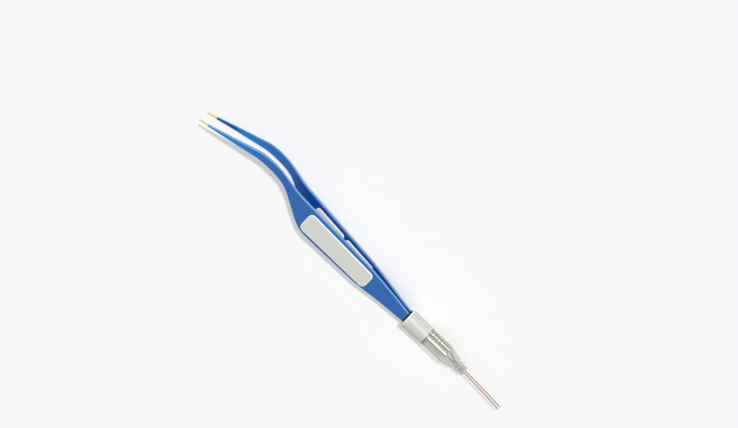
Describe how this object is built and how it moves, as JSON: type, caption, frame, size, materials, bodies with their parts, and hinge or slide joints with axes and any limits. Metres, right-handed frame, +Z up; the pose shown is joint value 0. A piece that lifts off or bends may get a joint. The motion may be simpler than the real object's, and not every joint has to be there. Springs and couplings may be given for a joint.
{
  "type": "bipolar forceps",
  "caption": "Bayonet bipolar forceps: two insulated spring arms with grip pads and bare tips, a collar, a clear boot and a stub of twin lead.",
  "frame": {"origin": "bottom centre of the forceps without its lead, on the surface that it lies on", "axes": "+X along the forceps to the tips, +Y to the belly side of the arms, +Z up, from the lower arm to the upper arm"},
  "size_m": [0.2536, 0.0248, 0.0166],
  "materials": {
    "blue_insulation": "semi-gloss blue insulating coat over the metal blade",
    "gold_tip": "polished gold-coloured metal",
    "grip_grey": "matt light grey with paler rims",
    "collar_grey": "satin light grey moulding",
    "inner_plastic": "matt dark insulator",
    "clear_boot": "clear flexible plastic, a little grey-green",
    "contact_metal": "plated turned metal",
    "crimp_brass": "satin brass",
    "copper_strand": "bright copper strands",
    "clear_skin": "clear plastic skin"
  },
  "bodies": {
    "root": {"collar": "collar_grey", "spacer": "inner_plastic", "rear_plug": "inner_plastic", "boot": "clear_boot", "upper_contact": "contact_metal", "lower_contact": "contact_metal", "upper_crimp": "crimp_brass", "lower_crimp": "crimp_brass", "upper_conductor": "copper_strand", "lower_conductor": "copper_strand", "lead": "clear_skin"},
    "upper_arm": {"upper_blade": "blue_insulation", "upper_electrode": "gold_tip", "upper_outer_pad": "grip_grey", "upper_inner_front_pad": "grip_grey", "upper_inner_rear_pad": "grip_grey"},
    "lower_arm": {"lower_blade": "blue_insulation", "lower_electrode": "gold_tip", "lower_outer_pad": "grip_grey", "lower_inner_front_pad": "grip_grey", "lower_inner_rear_pad": "grip_grey"}
  },
  "joints": [
    {"name": "upper_arm_flex", "type": "hinge", "parent": "root", "child": "upper_arm", "pos_m": [-0.06279, 0.006, 0.0104], "axis": [0, 1, 0], "range_deg": [0, 1.95], "stiffness_Nm_per_rad": 4},
    {"name": "lower_arm_flex", "type": "hinge", "parent": "root", "child": "lower_arm", "pos_m": [-0.06279, 0.006, 0.0062], "axis": [0, -1, 0], "range_deg": [0, 1.95], "stiffness_Nm_per_rad": 4}
  ]
}
